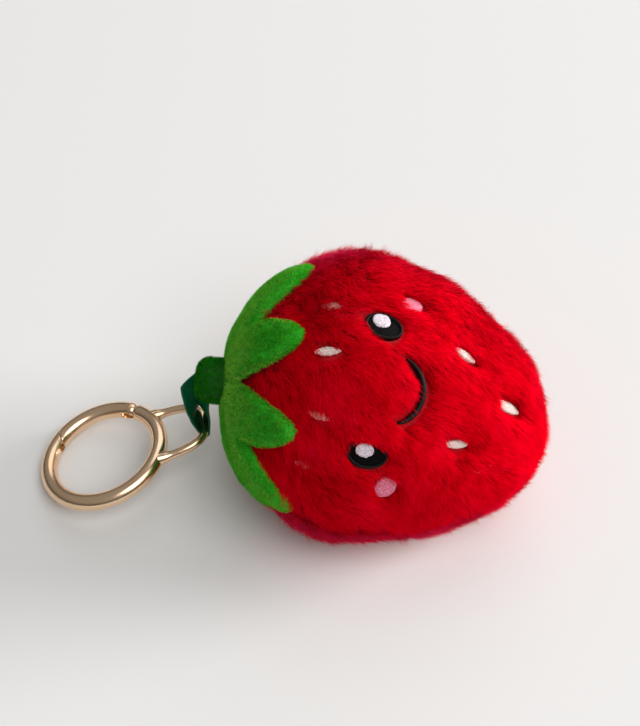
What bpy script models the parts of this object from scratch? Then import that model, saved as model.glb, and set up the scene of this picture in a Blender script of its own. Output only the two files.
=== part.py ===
"""Strawberry plush keychain: a stuffed fur body with a calyx, an embroidered face, a satin
ribbon loop and a gold spring-gate ring with a cast-on loop.

Frame: metres, +Z up. The plush lies on its back on z = 0 with its stem towards -X and its tip
towards +X. Its face leans towards -Y.
"""

import math

import bmesh
import bpy
from mathutils import Matrix, Vector

MM = 0.001
GAP = 0.3 * MM

# Stuffed body
BODY_LENGTH = 86 * MM
BODY_HALF_WIDTH = 38 * MM
FACE_BULGE = 29 * MM
BACK_BULGE = 32 * MM
FACE_ROLL = math.radians(34)
TIP_DROP = math.radians(9.4)
BODY_HEIGHT = 30.8 * MM
PANEL_THICKNESS = 5 * MM
SEAM_TURN = math.radians(-11.3)
SEAM_RISE = 2 * MM
PEAK_POWER = 0.744
STEM_BLUNTNESS = 0.55
BLUNTNESS_FALL = 0.14
TIP_SAG = 3.2 * MM
SAG_START = 0.45

# Calyx: eight padded leaves in three plies
LEAVES = 8
LEAF_TIP_LATITUDE = math.radians(52.5)
SIDE_LEAF_REACH = math.radians(5)
NOTCH_LATITUDE = math.radians(29)
CENTRE_NOTCH_LATITUDE = math.radians(16)
CALYX_HOLE_LATITUDE = math.radians(4)
LEAF_ROUNDING = 0.36
UPPER_PLY = 1.2 * MM
WADDING = 1.3 * MM
LINING = 0.7 * MM
CALYX_SEAT = 3.6 * MM
SEAT_START = 0.40
SEAT_FADE = 0.26
WADDING_INSET = math.radians(5)
CALYX_CLEARANCE = 0.55 * MM

# Stem stub
STEM_RADIUS = 6 * MM
STEM_BASE = 43.8 * MM
STEM_END = 49.6 * MM
STEM_ROUNDING = 3.6 * MM
STEM_WALL = 1.2 * MM

# Embroidery
PAD_SINK = 2.2 * MM
PAD_THICKNESS = 1.2 * MM
GLINT_THICKNESS = 0.5 * MM
EYES = {"left": (-5.1, 17.1, -12, 5.0, 3.5), "right": (-6.6, -16.3, -7, 5.3, 3.8)}
GLINT_SHIFT = (-0.9 * MM, 1.0 * MM)
GLINT_SIZE = (2.3 * MM, 1.8 * MM)
CHEEKS = {"left": (2.2, 23.8, -25, 3.3, 2.2), "right": (-0.4, -24.4, 20, 3.0, 2.6)}
SMILE_RADIUS = 8.4 * MM
SMILE_ANGLES = (math.radians(-73), math.radians(66))
SMILE_CENTRE = (-6.4 * MM, 0.7 * MM)
SMILE_WIDTH = 1.6 * MM
SMILE_SPOT = 4 * MM
SEED_SIZE = (3.3 * MM, 1.15 * MM)
FRONT_SEEDS = [
    (-19.3, 9.2, 5), (-20.3, -7.7, -16), (-18.4, 23.0, 0), (-21.6, -22.1, -10),
    (17.4, 12.3, -22), (16.3, -11.4, 0), (25.0, -17.1, 12), (30.3, 0, -14),
]
BACK_SEEDS = [(-16, 19, 0), (-16, -24, 0), (4, 27, 0), (13, 15, 0), (13, -20, 0), (28, 2, 0)]

# Spring-gate ring with its cast loop
RING_RADIUS = 15.9 * MM
RING_WIRE = 2.25 * MM
RING_CENTRE = Vector((-75.0, -1.4, 6.55)) * MM
RING_TILT = math.radians(15.6)
RAISED_SIDE = math.radians(-17.1)
LOOP_DIRECTION = math.radians(12)
LOOP_REACH = 28.7 * MM
LOOP_START = 14.5 * MM
LOOP_HALF_WIDTH = 8.0 * MM
LOOP_SQUARENESS = 3.2
LOOP_WIRE = 1.2 * MM
GATE_SEAM = math.radians(45)
GATE_PIVOT = math.radians(54.4)
LATCH = math.radians(135)
TONGUE = 1.4 * MM
SLOT = TONGUE + 2 * GAP
TONGUE_RADIUS = 1.5 * MM
PIN_RADIUS = 0.65 * MM
NOSE_REACH = 1.3 * MM
NOSE_OUTWARD = 0.9 * MM
NOSE_INWARD = 1.6 * MM
BORE_RADIUS = 1.15 * MM
BORE_LENGTH = 8.0 * MM
BORE_TURN = math.radians(13)

# Ribbon
RIBBON_WIDTH = 7.6 * MM
RIBBON_THICKNESS = 0.5 * MM
RIBBON_DROP = 17.8 * MM
BIGHT_RADIUS = LOOP_WIRE + GAP + RIBBON_THICKNESS / 2 + 0.35 * MM
BIGHT_SHIFT = -0.2 * MM
NECK_HALF_GAP = 0.55 * MM
ANCHOR_WIDTH = 5.4 * MM
ANCHOR_THICKNESS = 1.2 * MM
ANCHOR_ROUTE = [(-2.7, -0.1, 0.5), (-4.8, -0.5, 0.2), (-6.1, -1.4, -0.8)]

COLOURS = {
    "fur": ((0.62, 0.005, 0.02), 0.95, 0.0),
    "fibre": ((0.85, 0.85, 0.82), 1.0, 0.0),
    "velvet": ((0.05, 0.28, 0.03), 0.9, 0.0),
    "lining": ((0.04, 0.22, 0.03), 0.95, 0.0),
    "satin": ((0.0, 0.1, 0.04), 0.4, 0.0),
    "black_thread": ((0.01, 0.01, 0.012), 0.5, 0.0),
    "white_thread": ((0.85, 0.8, 0.82), 0.5, 0.0),
    "pink_thread": ((0.85, 0.22, 0.35), 0.5, 0.0),
    "gold": ((0.85, 0.6, 0.38), 0.15, 1.0),
    "steel": ((0.6, 0.6, 0.6), 0.3, 1.0),
}


# ---------------------------------------------------------------- scene helpers


def clear_scene():
    for obj in list(bpy.data.objects):
        bpy.data.objects.remove(obj, do_unlink=True)


def new_collection(name):
    collection = bpy.data.collections.new(name)
    bpy.context.scene.collection.children.link(collection)
    return collection


def make_material(name):
    colour, roughness, metallic = COLOURS[name]
    material = bpy.data.materials.new(name)
    material.use_nodes = True
    shader = material.node_tree.nodes["Principled BSDF"]
    shader.inputs["Base Color"].default_value = (*colour, 1)
    shader.inputs["Roughness"].default_value = roughness
    shader.inputs["Metallic"].default_value = metallic
    return material


def add_object(name, mesh, parent, material=None, matrix=None, sharp=40):
    """Link a mesh object to the parts, or to the cutters where it has no material."""
    obj = bpy.data.objects.new(name, mesh)
    obj.parent = parent
    if matrix is not None:
        obj.matrix_local = matrix
    if material is None:
        CUTTERS.objects.link(obj)
        obj.hide_render = True
        obj.display_type = "WIRE"
        return obj
    PARTS.objects.link(obj)
    mesh.materials.append(MATERIALS[material])
    mesh.shade_smooth()
    mesh.set_sharp_from_angle(angle=math.radians(sharp))
    return obj


def add_empty(name, matrix, parent=None):
    empty = bpy.data.objects.new(name, None)
    PARTS.objects.link(empty)
    empty.parent = parent
    empty.matrix_local = matrix
    return empty


def mesh_from(bm, name):
    mesh = bpy.data.meshes.new(name)
    bmesh.ops.recalc_face_normals(bm, faces=bm.faces[:])
    if bm.calc_volume(signed=True) < 0:
        bmesh.ops.reverse_faces(bm, faces=bm.faces[:])
    bm.to_mesh(mesh)
    bm.free()
    return mesh


def boolean(obj, other, operation="DIFFERENCE"):
    modifier = obj.modifiers.new(operation.lower(), "BOOLEAN")
    modifier.operation = operation
    modifier.object = other


def solidify(obj, thickness):
    modifier = obj.modifiers.new("thickness", "SOLIDIFY")
    modifier.thickness = thickness
    modifier.offset = 0


def box_mesh(name, low, high):
    """A box between two corners."""
    bm = bmesh.new()
    bmesh.ops.create_cube(bm, size=1)
    low, high = Vector(low), Vector(high)
    for vertex in bm.verts:
        share = vertex.co + Vector((0.5, 0.5, 0.5))
        vertex.co = Vector(a + (b - a) * t for a, b, t in zip(low, high, share))
    return mesh_from(bm, name)


def disc_mesh(name, half_x, half_y, bottom, top, segments=20):
    """An elliptic disc whose axis is Z."""
    bm = bmesh.new()
    bmesh.ops.create_cone(
        bm, cap_ends=True, segments=segments, radius1=1, radius2=1, depth=1
    )
    for vertex in bm.verts:
        x, y, z = vertex.co
        vertex.co = (x * half_x, y * half_y, top if z > 0 else bottom)
    return mesh_from(bm, name)


def wire_mesh(name, points, radius, resolution=3):
    """A round wire along the points, closed by flat caps, as a mesh."""
    curve = bpy.data.curves.new(name, "CURVE")
    curve.dimensions = "3D"
    curve.bevel_depth = radius
    curve.bevel_resolution = resolution
    curve.use_fill_caps = True
    spline = curve.splines.new("POLY")
    spline.points.add(len(points) - 1)
    for point, place in zip(spline.points, points):
        point.co = (*place, 1)
    holder = bpy.data.objects.new(name, curve)
    CUTTERS.objects.link(holder)
    bpy.context.view_layer.update()
    evaluated = holder.evaluated_get(bpy.context.evaluated_depsgraph_get())
    mesh = bpy.data.meshes.new_from_object(evaluated)
    bpy.data.objects.remove(holder)
    bm = bmesh.new()
    bm.from_mesh(mesh)
    bmesh.ops.remove_doubles(bm, verts=bm.verts[:], dist=0.01 * MM)
    bmesh.ops.recalc_face_normals(bm, faces=bm.faces[:])
    bm.to_mesh(mesh)
    bm.free()
    mesh.materials.clear()
    return mesh


# ---------------------------------------------------------------- plush body


def profile(share):
    """Width of the body at a share of its length from the stem end, where 1 is its widest."""
    share = min(max(share, 0.0), 1.0)
    wave = max(math.sin(math.pi * share**PEAK_POWER), 0.0)
    return wave ** (STEM_BLUNTNESS - BLUNTNESS_FALL * share)


def calyx_seat(share):
    """How far the fur is pressed in under the calyx."""
    fade = min(max((SEAT_START - share) / SEAT_FADE, 0.0), 1.0)
    return CALYX_SEAT * fade * fade * (3 - 2 * fade)


def tip_sag(share):
    """How far the body leans to its near side towards the tip."""
    way = min(max((share - SAG_START) / SAG_START, 0.0), 1.0)
    return TIP_SAG * way * way * (3 - 2 * way)


def body_point(share, turn, depth=0.0):
    """A point of the body: turn is 0 at the far side seam, a quarter turn at the face."""
    width = profile(share)
    bulge = FACE_BULGE if math.sin(turn) > 0 else BACK_BULGE
    return Vector((
        (share - 0.5) * (BODY_LENGTH - 2 * depth),
        (BODY_HALF_WIDTH - depth) * width * math.cos(turn) - tip_sag(share),
        (bulge - depth) * width * math.sin(turn),
    ))


def latitude_share(latitude):
    return (1 - math.cos(latitude)) / 2


def body_mesh(name, depth, segments=36, rings=24):
    bm = bmesh.new()
    bmesh.ops.create_uvsphere(bm, u_segments=segments, v_segments=rings, radius=1)
    for vertex in bm.verts:
        x, y, z = vertex.co
        share = (1 + z) / 2
        vertex.co = body_point(share, math.atan2(y, x), depth + calyx_seat(share))
    return mesh_from(bm, name)


def surface_frame(along, across, face=1, depth=0.0, spin=0.0):
    """A frame on the body: Z out of the surface, X towards the tip, turned by spin in degrees."""
    share = along / BODY_LENGTH + 0.5
    turn = face * math.acos((across + tip_sag(share)) / (BODY_HALF_WIDTH * profile(share)))
    step = 0.01
    out = (body_point(share, turn + step) - body_point(share, turn - step)).cross(
        body_point(share - step, turn) - body_point(share + step, turn)
    ).normalized()
    spot = body_point(share, turn)
    if out.dot(spot) < 0:
        out = -out
    tipward = Vector((1, 0, 0))
    tipward = (tipward - out * tipward.dot(out)).normalized()
    frame = Matrix((tipward, out.cross(tipward), out)).transposed().to_4x4()
    frame.translation = spot - out * depth
    return frame @ Matrix.Rotation(math.radians(spin), 4, "Z")


def build_panels(plush):
    core = add_object("panel_core", body_mesh("panel_core", PANEL_THICKNESS), plush)
    reach = BODY_LENGTH
    world = Matrix.Translation((0, 0, -reach))
    table = add_object("table_block", box_mesh("table_block", (-reach, -reach, 0), (reach, reach, reach)), None)
    table.matrix_world = world
    seam = Matrix.Translation((0, 0, SEAM_RISE)) @ Matrix.Rotation(SEAM_TURN, 4, "X")
    panels = {}
    for name, side in (("front_panel", 1), ("back_panel", -1)):
        panel = add_object(name, body_mesh(name, 0), plush, "fur")
        low, high = sorted((-side * reach, side * GAP / 2))
        half = box_mesh(name + "_half", (-reach, -reach, low), (reach, reach, high))
        half = add_object(name + "_half", half, plush, matrix=seam)
        boolean(panel, core)
        boolean(panel, half)
        boolean(panel, table)
        panels[side] = panel
    stuffing = add_object("stuffing", body_mesh("stuffing", PANEL_THICKNESS + 2 * GAP), plush, "fibre")
    floor = add_object(
        "stuffing_floor", box_mesh("stuffing_floor", (-reach, -reach, 0), (reach, reach, reach)), None
    )
    floor.matrix_world = Matrix.Translation((0, 0, 3.5 * MM - reach))
    boolean(stuffing, floor)
    return panels


# ---------------------------------------------------------------- calyx and stem


def calyx_edge(turn, inset):
    """Latitude of the calyx's edge: leaf tips between notches, deepest over the face."""
    place = (turn / (2 * math.pi) * LEAVES) % 1.0
    from_centre = abs(2 * place - 1)
    notch = NOTCH_LATITUDE - (NOTCH_LATITUDE - CENTRE_NOTCH_LATITUDE) * abs(math.sin(turn)) ** 8
    tip = LEAF_TIP_LATITUDE + SIDE_LEAF_REACH * math.cos(turn) ** 2
    rounded = math.hypot(from_centre, LEAF_ROUNDING) - LEAF_ROUNDING
    return tip - (tip - notch) * rounded / (math.hypot(1, LEAF_ROUNDING) - LEAF_ROUNDING) - inset


def calyx_ply(name, plush, material, height, thickness, inset=0.0):
    """One ply whose underside lies at a height above the fur it is pressed into."""
    bm = bmesh.new()
    bmesh.ops.create_grid(bm, x_segments=LEAVES * 8, y_segments=4, size=1)
    for vertex in bm.verts:
        turn = math.pi * (vertex.co.x + 1)
        edge = calyx_edge(turn, inset)
        way = (vertex.co.y + 1) / 2
        share = latitude_share(CALYX_HOLE_LATITUDE + (edge - CALYX_HOLE_LATITUDE) * way)
        depth = calyx_seat(share) - height - thickness / 2
        vertex.co = body_point(share, turn, depth)
    bmesh.ops.remove_doubles(bm, verts=bm.verts[:], dist=0.01 * MM)
    ply = add_object(name, mesh_from(bm, name), plush, material)
    solidify(ply, thickness)


def build_calyx(plush):
    height = CALYX_CLEARANCE
    calyx_ply("calyx_lining", plush, "lining", height, LINING)
    height += LINING + GAP
    calyx_ply("calyx_wadding", plush, "fibre", height, WADDING, WADDING_INSET)
    height += WADDING + GAP
    calyx_ply("calyx_upper", plush, "velvet", height, UPPER_PLY)


def turned(name, outline, parent, matrix, material, steps=24):
    """A turned solid: the outline runs down its outer side from the axis."""
    bm = bmesh.new()
    points = [bm.verts.new((radius, 0, height)) for radius, height in outline]
    for first, second in zip(points, points[1:]):
        bm.edges.new((first, second))
    mesh = bpy.data.meshes.new(name)
    bm.to_mesh(mesh)
    bm.free()
    obj = add_object(name, mesh, parent, material, matrix)
    screw = obj.modifiers.new("turn", "SCREW")
    screw.axis = "Z"
    screw.steps = steps
    screw.render_steps = steps
    screw.use_merge_vertices = True
    screw.merge_threshold = 0.01 * MM
    return obj


def dome_outline(radius, top, rounding, bottom, corners=4):
    """From the axis over a rounded shoulder down to the bottom rim."""
    points = [(0, top)]
    for step in range(corners + 1):
        angle = math.radians(90) * step / corners
        points.append((
            radius - rounding + rounding * math.sin(angle),
            top - rounding + rounding * math.cos(angle),
        ))
    points.append((radius, bottom))
    return points


def build_stem(plush):
    upwards = Matrix.Rotation(math.radians(-90), 4, "Y")
    outer = dome_outline(STEM_RADIUS, STEM_END, STEM_ROUNDING, STEM_BASE)
    inner = dome_outline(
        STEM_RADIUS - STEM_WALL, STEM_END - STEM_WALL, STEM_ROUNDING - STEM_WALL, STEM_BASE
    )
    turned("stem_cover", outer + inner[::-1], plush, upwards, "velvet")
    fill = dome_outline(
        STEM_RADIUS - STEM_WALL - GAP, STEM_END - STEM_WALL - GAP, STEM_ROUNDING - STEM_WALL, STEM_BASE
    )
    turned("stem_filling", fill + [(0, STEM_BASE)], plush, upwards, "fibre", 16)


# ---------------------------------------------------------------- embroidery


def add_pad(name, plush, panel, material, frame, size, segments):
    """A stitched pad in a pocket that it presses into the pile."""
    pad = disc_mesh(name, *size, -PAD_THICKNESS, 0, segments)
    add_object(name, pad, plush, material, frame)
    pocket = disc_mesh(
        name + "_pocket",
        size[0] + GAP,
        size[1] + GAP,
        -PAD_THICKNESS - GAP,
        PAD_SINK + PAD_THICKNESS,
        segments,
    )
    boolean(panel, add_object(name + "_pocket", pocket, plush, matrix=frame))


def smile_mesh(name, bottom, top, margin=0.0):
    """A thick arc that narrows towards its ends, lying in XY and opening towards -X."""
    bm = bmesh.new()
    bmesh.ops.create_grid(bm, x_segments=12, y_segments=1, size=1)
    base = bm.faces[:]
    for vertex in bm.verts:
        low, high = (angle + margin / SMILE_RADIUS * math.copysign(1, angle) for angle in SMILE_ANGLES)
        angle = low + (high - low) * (vertex.co.x + 1) / 2
        half_width = SMILE_WIDTH / 2 * (1 - 0.45 * vertex.co.x**2) + margin
        radius = SMILE_RADIUS + vertex.co.y * half_width
        vertex.co = (
            SMILE_CENTRE[0] + radius * math.cos(angle),
            SMILE_CENTRE[1] + radius * math.sin(angle),
            bottom,
        )
    sides = bmesh.ops.extrude_face_region(bm, geom=base)["geom"]
    raised = [item for item in sides if isinstance(item, bmesh.types.BMVert)]
    bmesh.ops.translate(bm, verts=raised, vec=(0, 0, top - bottom))
    return mesh_from(bm, name)


def build_face(plush, panels):
    front = panels[1]
    for name, (along, across, spin, half_x, half_y) in EYES.items():
        depth = PAD_SINK + GLINT_THICKNESS + GAP
        frame = surface_frame(along * MM, across * MM, 1, depth, spin)
        size = (half_x * MM, half_y * MM)
        add_pad("eye_" + name, plush, front, "black_thread", frame, size, 20)
        shift = Matrix.Translation((*GLINT_SHIFT, GAP))
        glint = disc_mesh("eye_glint_" + name, *GLINT_SIZE, 0, GLINT_THICKNESS, 14)
        add_object("eye_glint_" + name, glint, plush, "white_thread", frame @ shift)
    for name, (along, across, spin, half_x, half_y) in CHEEKS.items():
        frame = surface_frame(along * MM, across * MM, 1, PAD_SINK, spin)
        size = (half_x * MM, half_y * MM)
        add_pad("cheek_" + name, plush, front, "pink_thread", frame, size, 16)
    frame = surface_frame(SMILE_SPOT, 0, depth=PAD_SINK)
    add_object("smile", smile_mesh("smile", -PAD_THICKNESS, 0), plush, "black_thread", frame)
    pocket = smile_mesh("smile_pocket", -PAD_THICKNESS - GAP, 3 * PAD_SINK, GAP)
    pocket = add_object("smile_pocket", pocket, plush, matrix=frame)
    boolean(front, pocket)


def build_seeds(plush, panels):
    for word, face, spots in (("front", 1, FRONT_SEEDS), ("back", -1, BACK_SEEDS)):
        for number, (along, across, spin) in enumerate(spots, 1):
            frame = surface_frame(along * MM, across * MM, face, PAD_SINK, spin)
            name = f"seed_{word}_{number}"
            add_pad(name, plush, panels[face], "white_thread", frame, SEED_SIZE, 10)


# ---------------------------------------------------------------- ring and gate


def ring_point(angle, radius=RING_RADIUS):
    """A point in the clasp's frame, whose origin is the far end of the cast loop."""
    return Vector((radius * math.cos(angle) - LOOP_REACH, radius * math.sin(angle), 0))


def ring_arc(first, last):
    count = round(math.degrees(last - first) / 5)
    return [ring_point(first + (last - first) * step / count) for step in range(count + 1)]


def cast_loop_points():
    points = []
    for step in range(33):
        angle = math.pi * (step / 32 - 0.5)
        bend = 2 / LOOP_SQUARENESS
        points.append(Vector((
            LOOP_START - LOOP_REACH + (LOOP_REACH - LOOP_START) * abs(math.cos(angle)) ** bend,
            math.copysign(LOOP_HALF_WIDTH * abs(math.sin(angle)) ** bend, angle),
            0,
        )))
    return points


def aimed(origin, direction):
    """A frame at origin with X along a direction in the ring's plane."""
    turn = math.atan2(direction.y, direction.x)
    return Matrix.Translation(origin) @ Matrix.Rotation(turn, 4, "Z")


def cutter(name, mesh, parent, matrix):
    return add_object(name, mesh, parent, matrix=matrix)


def build_clasp(clasp, gate_pivot):
    pivot = ring_point(GATE_PIVOT)
    latch = ring_point(LATCH)
    chord = aimed(latch, latch - pivot)
    towards_body = aimed(pivot, ring_point(GATE_SEAM) - pivot)
    to_gate = Matrix.Translation(-pivot)
    big = 6 * MM
    tall = (-2 * RING_WIRE, 2 * RING_WIRE)

    body = add_object("ring_body", wire_mesh("ring_body", ring_arc(LATCH - 0.4, 2 * math.pi + GATE_SEAM), RING_WIRE, 4), clasp, "gold")
    loop = cutter("cast_loop", wire_mesh("cast_loop", cast_loop_points(), LOOP_WIRE), clasp, Matrix())
    latch_side = box_mesh("latch_side", (-3 * big, -big, tall[0]), (GAP / 2, big, tall[1]))
    boolean(body, cutter("latch_side", latch_side, clasp, chord))
    boolean(body, loop, "UNION")
    reach = (ring_point(GATE_SEAM) - pivot).length
    tongue = box_mesh("tongue", (0, -TONGUE_RADIUS, -TONGUE / 2), (reach + 1.5 * MM, TONGUE_RADIUS, TONGUE / 2))
    tongue = cutter("tongue", tongue, clasp, towards_body)
    tongue_end = disc_mesh("tongue_end", TONGUE_RADIUS, TONGUE_RADIUS, -TONGUE / 2, TONGUE / 2)
    boolean(tongue, cutter("tongue_end", tongue_end, clasp, Matrix.Translation(pivot)), "UNION")
    boolean(body, tongue, "UNION")
    socket = box_mesh(
        "latch_socket",
        (-big, -NOSE_OUTWARD - GAP, -SLOT / 2),
        (NOSE_REACH + 2 * GAP, 2 * RING_WIRE, SLOT / 2),
    )
    boolean(body, cutter("latch_socket", socket, clasp, chord))
    hole = disc_mesh("pin_hole", PIN_RADIUS + GAP, PIN_RADIUS + GAP, *tall, 16)
    boolean(body, cutter("pin_hole", hole, clasp, Matrix.Translation(pivot)))

    pin = disc_mesh("hinge_pin", PIN_RADIUS, PIN_RADIUS, -RING_WIRE, RING_WIRE, 16)
    add_object("hinge_pin", pin, clasp, "steel", Matrix.Translation(pivot))

    arc = [point - pivot for point in ring_arc(GATE_PIVOT, LATCH + 0.4)]
    gate = add_object("gate", wire_mesh("gate", arc, RING_WIRE, 4), gate_pivot, "gold")
    ball = bmesh.new()
    bmesh.ops.create_uvsphere(ball, u_segments=16, v_segments=10, radius=RING_WIRE * 0.998)
    ball = cutter("gate_knuckle", mesh_from(ball, "gate_knuckle"), gate_pivot, Matrix.Rotation(GATE_PIVOT, 4, "Z"))
    boolean(gate, ball, "UNION")
    chord_g = to_gate @ chord
    body_side = box_mesh("body_side", (-GAP / 2, -2 * big, tall[0]), (3 * big, 2 * big, tall[1]))
    boolean(gate, cutter("body_side", body_side, gate_pivot, chord_g))
    nose = box_mesh(
        "nose", (-1.2 * MM, -NOSE_OUTWARD, -TONGUE / 2), (NOSE_REACH, NOSE_INWARD, TONGUE / 2)
    )
    boolean(gate, cutter("nose", nose, gate_pivot, chord_g), "UNION")
    fork = box_mesh("fork_slot", (-TONGUE_RADIUS - GAP, -big, -SLOT / 2), (big, big, SLOT / 2))
    boolean(gate, cutter("fork_slot", fork, gate_pivot, to_gate @ towards_body))
    hole = disc_mesh("fork_hole", PIN_RADIUS + GAP, PIN_RADIUS + GAP, *tall, 16)
    boolean(gate, cutter("fork_hole", hole, gate_pivot, Matrix()))

    inward = Matrix.Rotation(GATE_PIVOT + math.radians(90) + BORE_TURN, 4, "Z") @ Matrix.Rotation(
        math.radians(90), 4, "Y"
    )
    bore = disc_mesh("spring_bore", BORE_RADIUS, BORE_RADIUS, 0, BORE_LENGTH, 14)
    boolean(gate, cutter("spring_bore", bore, gate_pivot, inward))
    plunger_start = TONGUE_RADIUS + GAP
    plunger_end = plunger_start + 2 * MM
    plunger_radius = BORE_RADIUS - GAP
    plunger = dome_outline(plunger_radius, -plunger_start, 0.5 * MM, -plunger_end, 2)
    turned(
        "gate_plunger",
        plunger + [(0, -plunger_end)],
        gate_pivot,
        inward @ Matrix.Rotation(math.radians(180), 4, "X"),
        "steel",
        12,
    )
    build_spring(gate_pivot, inward, plunger_end + GAP, BORE_LENGTH - GAP)


def build_spring(gate_pivot, inward, first, last):
    wire = 0.17 * MM
    radius = BORE_RADIUS - GAP - wire
    turns, per_turn = 5, 10
    points = []
    for step in range(turns * per_turn + 1):
        angle = 2 * math.pi * step / per_turn
        height = first + wire + (last - first - 2 * wire) * step / (turns * per_turn)
        points.append(Vector((radius * math.cos(angle), radius * math.sin(angle), height)))
    add_object("gate_spring", wire_mesh("gate_spring", points, wire, 2), gate_pivot, "steel", inward)


# ---------------------------------------------------------------- ribbon


def build_ribbon_loop(pivot):
    """A closed band that hangs from its pivot and wraps the cast loop's far wire."""
    bm = bmesh.new()
    bmesh.ops.create_circle(bm, segments=28, radius=1)
    top = RIBBON_DROP - 0.9 * MM
    for vertex in bm.verts:
        side, height = vertex.co.x, vertex.co.y
        if height < 0:
            place = (side * BIGHT_RADIUS + BIGHT_SHIFT, height * BIGHT_RADIUS)
        else:
            half = BIGHT_RADIUS + (NECK_HALF_GAP - BIGHT_RADIUS) * height
            across = math.copysign(half, side) if abs(side) > 0.01 else 0
            place = (across + BIGHT_SHIFT * (1 - height), top * height)
        vertex.co = (place[0], -RIBBON_WIDTH / 2, place[1] - RIBBON_DROP)
    edges = bmesh.ops.extrude_edge_only(bm, edges=bm.edges[:])["geom"]
    moved = [item for item in edges if isinstance(item, bmesh.types.BMVert)]
    bmesh.ops.translate(bm, verts=moved, vec=(0, RIBBON_WIDTH, 0))
    loop = add_object("ribbon_loop", mesh_from(bm, "ribbon_loop"), pivot, "satin")
    solidify(loop, RIBBON_THICKNESS)


def build_ribbon_anchor(pivot, plush):
    """The gathered ribbon ends, sewn in between stem and calyx, behind the stem."""
    start = Vector((-43.3, 8.8, 34.6)) * MM
    route = [start] + [start + Vector(step) * MM for step in ANCHOR_ROUTE]
    route.append(pivot.translation + Vector((0, 0.3, 1.9)) * MM)
    bm = bmesh.new()
    bmesh.ops.create_grid(bm, x_segments=len(route) - 1, y_segments=1, size=0.5)
    for vertex in bm.verts:
        place = route[round((vertex.co.x + 0.5) * (len(route) - 1))]
        vertex.co = place + Vector((0, vertex.co.y * ANCHOR_WIDTH, 0))
    anchor = add_object("ribbon_anchor", mesh_from(bm, "ribbon_anchor"), None, "satin")
    solidify(anchor, ANCHOR_THICKNESS)
    anchor.parent = plush
    anchor.matrix_parent_inverse = plush.matrix_local.inverted()


# ---------------------------------------------------------------- assembly


def plush_matrix():
    tilt = Matrix.Rotation(TIP_DROP, 4, "Y") @ Matrix.Rotation(FACE_ROLL, 4, "X")
    return Matrix.Translation((0, 0, BODY_HEIGHT)) @ tilt


def clasp_matrix():
    """The clasp's frame: origin at the loop's far wire, X from the ring's centre to it."""
    axis = Vector((math.sin(RAISED_SIDE), -math.cos(RAISED_SIDE), 0))
    turn = Matrix.Rotation(RING_TILT, 4, axis) @ Matrix.Rotation(LOOP_DIRECTION, 4, "Z")
    return Matrix.Translation(RING_CENTRE) @ turn @ Matrix.Translation((LOOP_REACH, 0, 0))


def ribbon_matrix(clasp):
    """Hangs straight above the loop's far wire, with Y along that wire."""
    along = clasp.col[1].to_3d().normalized()
    up = Vector((0, 0, 1))
    up = (up - along * up.dot(along)).normalized()
    frame = Matrix((along.cross(up), along, up)).transposed().to_4x4()
    frame.translation = clasp.translation + up * RIBBON_DROP
    return frame


clear_scene()
PARTS = new_collection("strawberry_plush_keychain")
CUTTERS = new_collection("cutters")
MATERIALS = {name: make_material(name) for name in COLOURS}

plush_frame = add_empty("plush_frame", plush_matrix())
plush_panels = build_panels(plush_frame)
build_calyx(plush_frame)
build_stem(plush_frame)
build_face(plush_frame, plush_panels)
build_seeds(plush_frame, plush_panels)

clasp_place = clasp_matrix()
clasp_frame = add_empty("clasp_frame", clasp_place)
gate_frame = add_empty("gate_frame", Matrix.Translation(ring_point(GATE_PIVOT)), clasp_frame)
build_clasp(clasp_frame, gate_frame)

ribbon_place = ribbon_matrix(clasp_place)
ribbon_frame = add_empty("ribbon_frame", ribbon_place)
build_ribbon_loop(ribbon_frame)
build_ribbon_anchor(ribbon_place, plush_frame)
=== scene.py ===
"""Strawberry plush keychain: fur, velvet, stitching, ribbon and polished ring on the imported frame.

Everything is in metres in the row frame. The plush's own frame has X from its stem to its tip, Y towards its
far side seam and Z out of its face.
"""

import math

import bmesh
import bpy
import numpy as np
from mathutils import Matrix, Vector


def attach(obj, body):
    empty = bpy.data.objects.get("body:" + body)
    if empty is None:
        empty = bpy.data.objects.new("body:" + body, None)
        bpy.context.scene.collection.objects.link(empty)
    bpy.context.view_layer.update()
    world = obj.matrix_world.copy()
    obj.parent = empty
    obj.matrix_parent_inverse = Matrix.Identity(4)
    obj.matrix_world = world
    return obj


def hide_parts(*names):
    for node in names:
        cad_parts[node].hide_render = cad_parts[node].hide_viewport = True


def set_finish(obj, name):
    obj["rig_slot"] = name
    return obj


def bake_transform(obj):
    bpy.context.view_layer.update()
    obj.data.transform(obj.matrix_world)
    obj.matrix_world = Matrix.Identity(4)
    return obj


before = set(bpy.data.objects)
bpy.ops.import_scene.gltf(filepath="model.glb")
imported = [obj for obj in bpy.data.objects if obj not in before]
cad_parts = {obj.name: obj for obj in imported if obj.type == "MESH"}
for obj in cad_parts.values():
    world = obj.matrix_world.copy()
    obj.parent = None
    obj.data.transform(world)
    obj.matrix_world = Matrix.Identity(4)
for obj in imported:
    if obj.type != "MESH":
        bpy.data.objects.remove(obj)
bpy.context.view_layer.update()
MM = 0.001

# Stuffed body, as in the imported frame
BODY_LENGTH = 86 * MM
BODY_HALF_WIDTH = 38 * MM
FACE_BULGE = 29 * MM
BACK_BULGE = 32 * MM
PEAK_POWER = 0.744
STEM_BLUNTNESS = 0.55
BLUNTNESS_FALL = 0.14
CALYX_SEAT = 3.6 * MM
SEAT_START = 0.40
SEAT_FADE = 0.26
TIP_SAG = 3.2 * MM
PLUSH = (
    Matrix.Translation((0, 0, 30.8 * MM))
    @ Matrix.Rotation(math.radians(9.4), 4, "Y")
    @ Matrix.Rotation(math.radians(34), 4, "X")
)
SEAM_SLOPE = math.tan(math.radians(-11.3))
SEAM_RISE = 2 * MM

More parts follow.
